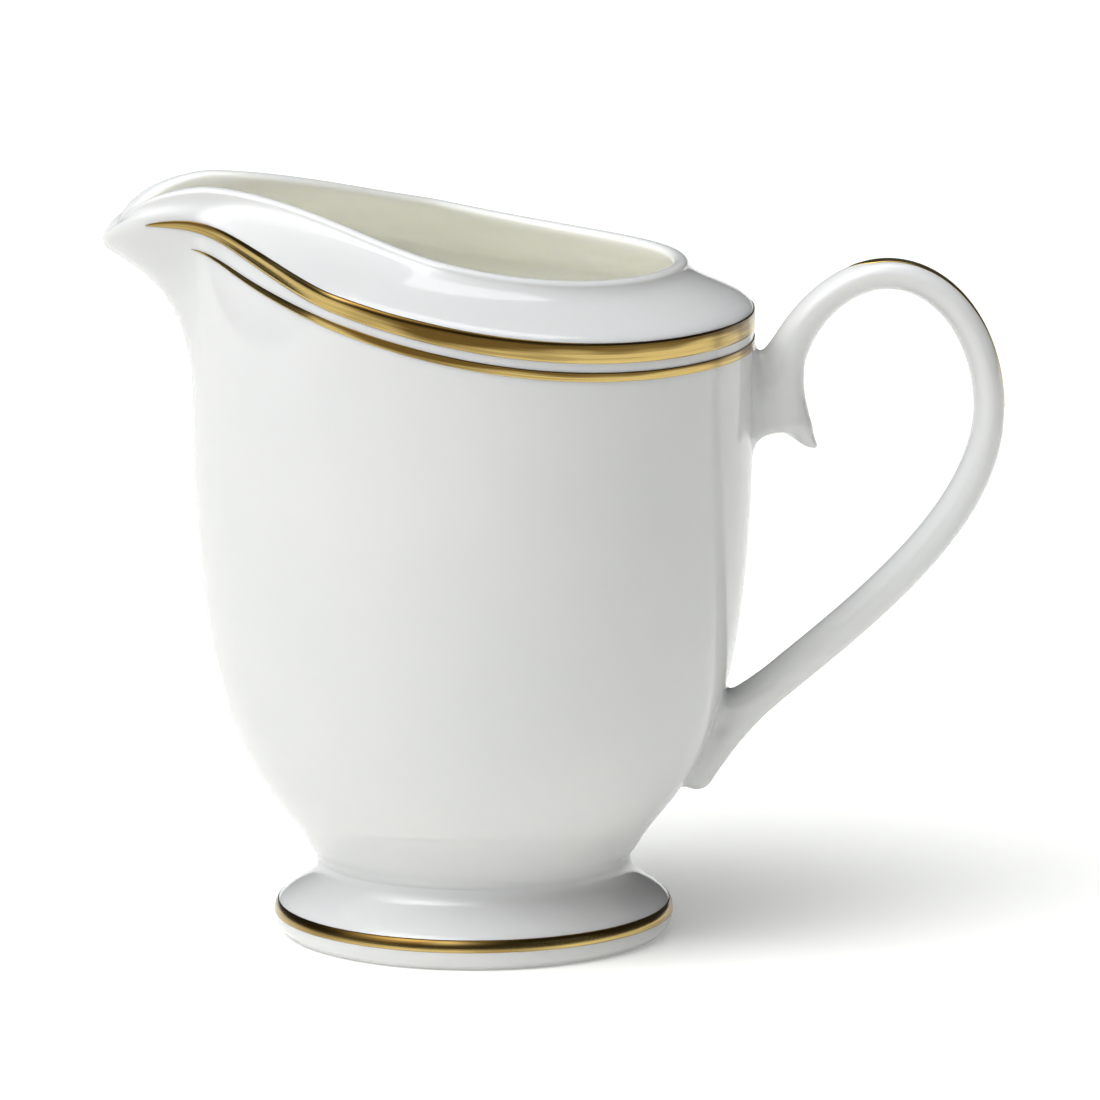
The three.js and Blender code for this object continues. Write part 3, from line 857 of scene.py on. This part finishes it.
def burnished_gold():
    """Burnished gold with the fine drag of the brush along each stroke, and painted shade along its
    upper edge.
    """
    material = bpy.data.materials.new("burnished gold")
    material.use_nodes = True
    add = shade(material)
    surface = material.node_tree.nodes["Principled BSDF"]
    along = add("ShaderNodeUVMap", uv_map="stroke").outputs["UV"]
    drag_map = add("ShaderNodeMapping", {"Vector": along, "Scale": (40.0, 7.0, 1.0)})
    drag = add("ShaderNodeTexNoise", {"Vector": drag_map.outputs[0], "Scale": 1.0, "Detail": 5.0})
    coords = add("ShaderNodeTexCoord").outputs["Object"]
    pool = add("ShaderNodeTexNoise", {"Vector": coords, "Scale": 38.0, "Detail": 2.0})
    blend = add(
        "ShaderNodeMath",
        {0: drag.outputs["Fac"], 1: pool.outputs["Fac"]},
        operation="MULTIPLY",
    )

    # Painted shade: the stroke is darkened to deep brown along its upper edge, further down in some
    # places than others.
    side = add("ShaderNodeSeparateXYZ", {"Vector": along}).outputs["Y"]
    drift_map = add("ShaderNodeMapping", {"Vector": along, "Scale": (42.0, 0.6, 1.0)})
    drift = add("ShaderNodeTexNoise", {"Vector": drift_map.outputs[0], "Scale": 1.0, "Detail": 1.0})
    height = add(
        "ShaderNodeMath",
        {0: drift.outputs["Fac"], 1: 1.7, 2: side},
        operation="MULTIPLY_ADD",
    )
    painted_edge_shade = add(
        "ShaderNodeMapRange",
        {
            "Value": height.outputs[0],
            "From Min": 1.2,
            "From Max": 1.6,
            "To Min": 1.15,
            "To Max": 0.3,
        },
        interpolation_type="SMOOTHSTEP",
    )
    thick = add(
        "ShaderNodeMath",
        {0: blend.outputs[0], 1: painted_edge_shade.outputs["Result"]},
        operation="MULTIPLY",
    )
    # The dark brown end of this ramp is where the painted shade of the upper edge lies; the rest is
    # the gold's own colour with its random patches.
    tone = add("ShaderNodeValToRGB", {"Fac": thick.outputs[0]})
    tone.color_ramp.elements[0].position = 0.07
    tone.color_ramp.elements[0].color = (0.13, 0.075, 0.018, 1)
    tone.color_ramp.elements[1].position = 0.34
    tone.color_ramp.elements[1].color = (0.60, 0.44, 0.16, 1)
    material.node_tree.links.new(tone.outputs["Color"], surface.inputs["Base Color"])
    gloss = add(
        "ShaderNodeMapRange",
        {"Value": drag.outputs["Fac"], "To Min": 0.12, "To Max": 0.28},
    )
    material.node_tree.links.new(gloss.outputs["Result"], surface.inputs["Roughness"])
    bump = add(
        "ShaderNodeBump",
        {"Height": drag.outputs["Fac"], "Strength": 0.15, "Distance": 0.00002},
    )
    material.node_tree.links.new(bump.outputs["Normal"], surface.inputs["Normal"])
    surface.inputs["Metallic"].default_value = 1.0
    return material


def banding_tree():
    """Spreads a stroke either side of a guide line and lays it on the glaze of a piece."""
    tree, given, add = bench(
        "band with gold",
        Glazed_piece="Object",
        Rows="Int",
        Film="Float",
        Waver="Float",
        Seed="Float",
        Gold="Material",
    )
    rows = given["Rows"]
    columns = add("GeometryNodeAttributeDomainSize", given["Geometry"])[0]
    grid = add("GeometryNodeMeshGrid", 1.0, 1.0, columns, rows)[0]
    index = add("GeometryNodeInputIndex")[0]
    column = calc(add, "FLOOR", calc(add, "DIVIDE", calc(add, "ADD", index, 0.5), rows))
    row = calc(add, "SUBTRACT", index, calc(add, "MULTIPLY", column, rows))
    side = calc(add, "DIVIDE", row, calc(add, "SUBTRACT", rows, 1.0))
    side = calc(add, "MULTIPLY_ADD", side, 2.0, -1.0)

    def held(label, kind):
        return add("GeometryNodeInputNamedAttribute", label, data_type=kind)[0]

    def sampled(value, kind):
        return add(
            "GeometryNodeSampleIndex", given["Geometry"], value, column, data_type=kind
        )[0]

    spot = add("GeometryNodeInputPosition")[0]
    middle = sampled(spot, "FLOAT_VECTOR")
    across = sampled(held("across", "FLOAT_VECTOR"), "FLOAT_VECTOR")
    half = sampled(held("half width", "FLOAT"), "FLOAT")
    length = sampled(held("run", "FLOAT"), "FLOAT")

    # The edges of the stroke waver a little, because it is laid by hand.
    wavers = calc(add, "MULTIPLY", length, wavers_per_metre)
    unsteady = add("ShaderNodeCombineXYZ", wavers, side, given["Seed"])[0]
    unsteady = add("ShaderNodeTexNoise", unsteady)[0]
    unsteady = calc(add, "MULTIPLY", calc(add, "SUBTRACT", unsteady, 0.5), given["Waver"])
    reach = calc(add, "MULTIPLY", calc(add, "ADD", half, unsteady), side)
    shift = add("ShaderNodeVectorMath", across, reach, operation="SCALE")[0]
    place = add("ShaderNodeVectorMath", middle, shift, operation="ADD")[0]
    spread = add("GeometryNodeSetPosition", grid, None, place)[0]

    # Each point drops to the nearest glaze and rises off it by the thickness of the film.
    glazed = add("GeometryNodeObjectInfo", given["Glazed piece"])
    glazed = [s for s in glazed if s.type == "GEOMETRY"][0]
    touching = add("GeometryNodeProximity", glazed, target_element="FACES")[0]
    outward = held("outward", "FLOAT_VECTOR")
    outward = add(
        "GeometryNodeSampleNearestSurface", glazed, outward, data_type="FLOAT_VECTOR"
    )[0]
    lift = add("ShaderNodeVectorMath", outward, given["Film"], operation="SCALE")[0]
    landed = add("ShaderNodeVectorMath", touching, lift, operation="ADD")[0]
    laid = add("GeometryNodeSetPosition", spread, None, landed)[0]

    # The map of the stroke: how far along in metres, and how far across from 0 to 1.
    stroke_map = add("ShaderNodeCombineXYZ", length, calc(add, "MULTIPLY_ADD", side, 0.5, 0.5))[0]
    stroke_map = add("GeometryNodeFieldOnDomain", stroke_map, data_type="FLOAT_VECTOR")[0]
    mapped = add(
        "GeometryNodeStoreNamedAttribute",
        laid,
        None,
        "stroke",
        stroke_map,
        data_type="FLOAT2",
        domain="CORNER",
    )[0]
    finish_tree(tree, add, mapped, given["Gold"])
    return tree


gold = burnished_gold()
banding = banding_tree()


def gild(name, node, piece, line, across, half, seed, waver=0.00008, rows=9):
    """Lays one stroke, gives the film its thickness and puts it in the frame."""
    line = (np.array(line) + (axis_x, 0, 0)) * MM
    run = np.concatenate([[0], np.cumsum(np.linalg.norm(np.diff(line, axis=0), axis=1))])
    across = np.array(across) / np.linalg.norm(across, axis=1)[:, None]
    stroke = run_tree(
        name,
        banding,
        line,
        [(i, i + 1) for i in range(len(line) - 1)],
        {"across": across, "half width": np.array(half) * MM, "run": run},
        Glazed_piece=piece,
        Rows=rows,
        Film=film * MM,
        Waver=waver,
        Seed=float(seed),
        Gold=gold,
    )
    thick = stroke.modifiers.new("film", "SOLIDIFY")
    thick.thickness = 2 * film * MM
    thick.offset = -1
    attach(stroke, "root")
    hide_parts(node)


throat_line = bow(throat, 200)


def wall_line(above):
    """The outside of the wall all round at a height above (or below) the shoulder line."""
    if above >= 0:
        low = np.column_stack([shoulder_plan, shoulder_z])
        return low + (0, 0, above)
    wanted = (shoulder_z + above - belly_top) / (shoulder_z - belly_top)
    share = np.interp(wanted, throat_line[:, 1], throat_line[:, 0])
    turn = np.arctan2(shoulder_plan[:, 1], shoulder_plan[:, 0])
    radius = body_radius + (np.hypot(*shoulder_plan.T) - body_radius) * share
    return np.column_stack([radius * np.cos(turn), radius * np.sin(turn), shoulder_z + above])


# Each point of the outline has a station: 0 to 1 on the arc, to 2 on the flank, to 3 on the nose.
station = np.concatenate(
    [
        np.linspace(0, 1, counts[0] + 1),
        1 + np.linspace(0, 1, counts[1] + 1)[1:],
        2 + np.linspace(0, 1, counts[2] + 1)[1:],
    ]
)


def shoulder_stroke(name, node, drop, width, leaves_off, seed):
    """A stroke from one flank of the spout, round past the handle, to the other flank."""
    kept = station <= leaves_off
    line = wall_line(-drop)[kept]
    across = (wall_line(width / 2 - drop) - wall_line(-width / 2 - drop))[kept]
    in_full = np.clip((station[kept].max() - station[kept]) / taper_run, 0, 1)
    half = width / 2 * np.maximum(in_full**0.62, 0.02)
    mirror = (1, -1, 1)
    line = np.vstack([line[::-1], line[1:] * mirror])
    across = np.vstack([across[::-1], across[1:] * mirror])
    half = np.concatenate([half[::-1], half[1:]])
    gild(name, node, body, line, across, half, seed)


shoulder_stroke("gold_band", "shoulder_gold_band", 0, gold_band_width, band_leaves_off, 3)
shoulder_stroke(
    "gold_line", "shoulder_gold_line", gold_line_drop, gold_line_width, line_leaves_off, 7
)

ring_turn = np.linspace(0, 2 * pi, wheel_steps + 1)
below_ring, ring_point, above_ring = bow(foot_shoulder, 101)[21:24]
ring_r, ring_z = ring_point
ring_way = above_ring - below_ring
gild(
    "gold_foot_band",
    "foot_gold_band",
    foot,
    np.column_stack([ring_r * np.cos(ring_turn), ring_r * np.sin(ring_turn), 0 * ring_turn + ring_z]),
    np.column_stack(
        [
            ring_way[0] * np.cos(ring_turn),
            ring_way[0] * np.sin(ring_turn),
            0 * ring_turn + ring_way[1],
        ]
    ),
    np.full(wheel_steps + 1, foot_band_width / 2),
    11,
)

root_points, rise_points, fall_points = (len(line) for line, _ in stretches[:3])
stroke_from = root_points + handle_stroke_start
stroke_to = root_points + rise_points + fall_points - 2
stroke_line = loop_line[stroke_from:stroke_to]
stroke_way = np.gradient(stroke_line, axis=0)
stroke_way /= np.hypot(*stroke_way.T)[:, None]
back = stroke_line + np.column_stack([-stroke_way[:, 1], stroke_way[:, 0]]) * half_thickness
part = np.linspace(0, 1, len(back))
gild(
    "gold_handle_stroke",
    "handle_gold_stroke",
    handle,
    np.column_stack([back[:, 0], 0 * part, back[:, 1]]),
    np.tile((0.0, 1.0, 0.0), (len(back), 1)),
    handle_stroke_width / 2 * np.minimum(np.sqrt(1 - 0.995 * part * part), 0.05 + part * 9),
    5,
)

# ---- Studio ----------------------------------------------------------------------------------
# A plain pale table of matt paper under a pale dome that glows from above on the left, with a
# large soft window on the left and a soft strip overhead. The table is clear from underneath.

floor_reach = 6.0
floor_level = -0.0001
floor_mesh = bpy.data.meshes.new("floor")
floor_mesh.from_pydata(
    [
        (x * floor_reach, y * floor_reach, floor_level)
        for x, y in ((-1, -1), (1, -1), (1, 1), (-1, 1))
    ],
    [],
    [(0, 1, 2, 3)],
)
floor = bpy.data.objects.new("floor", floor_mesh)
bpy.context.scene.collection.objects.link(floor)
paper = bpy.data.materials.new("pale paper")
paper.use_nodes = True
paper_add = shade(paper)
paper_surface = paper.node_tree.nodes["Principled BSDF"]
fibre = paper_add(
    "ShaderNodeTexNoise",
    {"Vector": paper_add("ShaderNodeTexCoord").outputs["Object"], "Scale": 500.0},
)
fibre_tone = paper_add("ShaderNodeValToRGB", {"Fac": fibre.outputs["Fac"]})
fibre_tone.color_ramp.elements[0].color = (0.915, 0.91, 0.87, 1)
fibre_tone.color_ramp.elements[1].color = (0.935, 0.93, 0.89, 1)
paper.node_tree.links.new(fibre_tone.outputs["Color"], paper_surface.inputs["Base Color"])
paper_surface.inputs["Roughness"].default_value = 0.9
paper_surface.inputs["Specular IOR Level"].default_value = 0.1
paper_surface.inputs["Emission Color"].default_value = (1, 1, 1, 1)
paper_surface.inputs["Emission Strength"].default_value = 0.2
seen_through = paper_add(
    "ShaderNodeMixShader",
    {
        0: paper_add("ShaderNodeNewGeometry").outputs["Backfacing"],
        1: paper_surface.outputs["BSDF"],
        2: paper_add("ShaderNodeBsdfTransparent").outputs[0],
    },
)
paper.node_tree.links.new(
    seen_through.outputs[0], paper.node_tree.nodes["Material Output"].inputs["Surface"]
)
floor_mesh.materials.append(paper)


def soft_light(name, place, aim, size, power, colour=(1, 1, 1)):
    """A rectangular soft box that points at a place."""
    lamp = bpy.data.lights.new(name, "AREA")
    lamp.shape = "RECTANGLE"
    lamp.size, lamp.size_y = size
    lamp.energy = power
    lamp.color = colour
    holder = bpy.data.objects.new(name, lamp)
    holder.location = place
    way = np.array(aim, float) - np.array(place, float)
    holder.rotation_euler = Vector(way).to_track_quat("-Z", "Y").to_euler()
    bpy.context.scene.collection.objects.link(holder)


jug_middle = (0, 0, 0.055)
soft_light("left window", (-1.25, -0.55, 0.95), jug_middle, (1.0, 1.1), 1.8)
soft_light("overhead", (0, 0.04, 0.85), jug_middle, (0.7, 0.3), 1.9, (0.93, 0.97, 1))

world = bpy.data.worlds.new("studio")
world.use_nodes = True
dome = shade(world)
toward = dome(
    "ShaderNodeVectorMath",
    {0: dome("ShaderNodeTexCoord").outputs["Generated"], 1: (-0.42, -0.36, 0.833)},
    operation="DOT_PRODUCT",
)
facing = dome("ShaderNodeMath", {0: toward.outputs["Value"], 1: 0.0}, operation="MAXIMUM")
gather = dome("ShaderNodeMath", {0: facing.outputs[0], 1: 12.0}, operation="POWER")
glow = dome("ShaderNodeMapRange", {"Value": gather.outputs[0], "To Min": 0.08, "To Max": 7.0})
background = world.node_tree.nodes["Background"]
background.inputs["Color"].default_value = (0.975, 0.985, 1.0, 1)
world.node_tree.links.new(glow.outputs["Result"], background.inputs["Strength"])
bpy.context.scene.world = world
bpy.context.scene.view_settings.view_transform = "Standard"

looks_down = 10.76  # degrees below level
turned_right = 0.5075
camera_data = bpy.data.cameras.new("camera")
camera_data.sensor_width = 36
camera_data.lens = 288.1636
camera_data.clip_start, camera_data.clip_end = 0.05, 20
camera = bpy.data.objects.new("camera", camera_data)
camera.location = (axis_x * MM, -1.3, 0.305)
camera.rotation_euler = (radians(90 - looks_down), 0, -radians(turned_right))
bpy.context.scene.collection.objects.link(camera)
bpy.context.scene.camera = camera
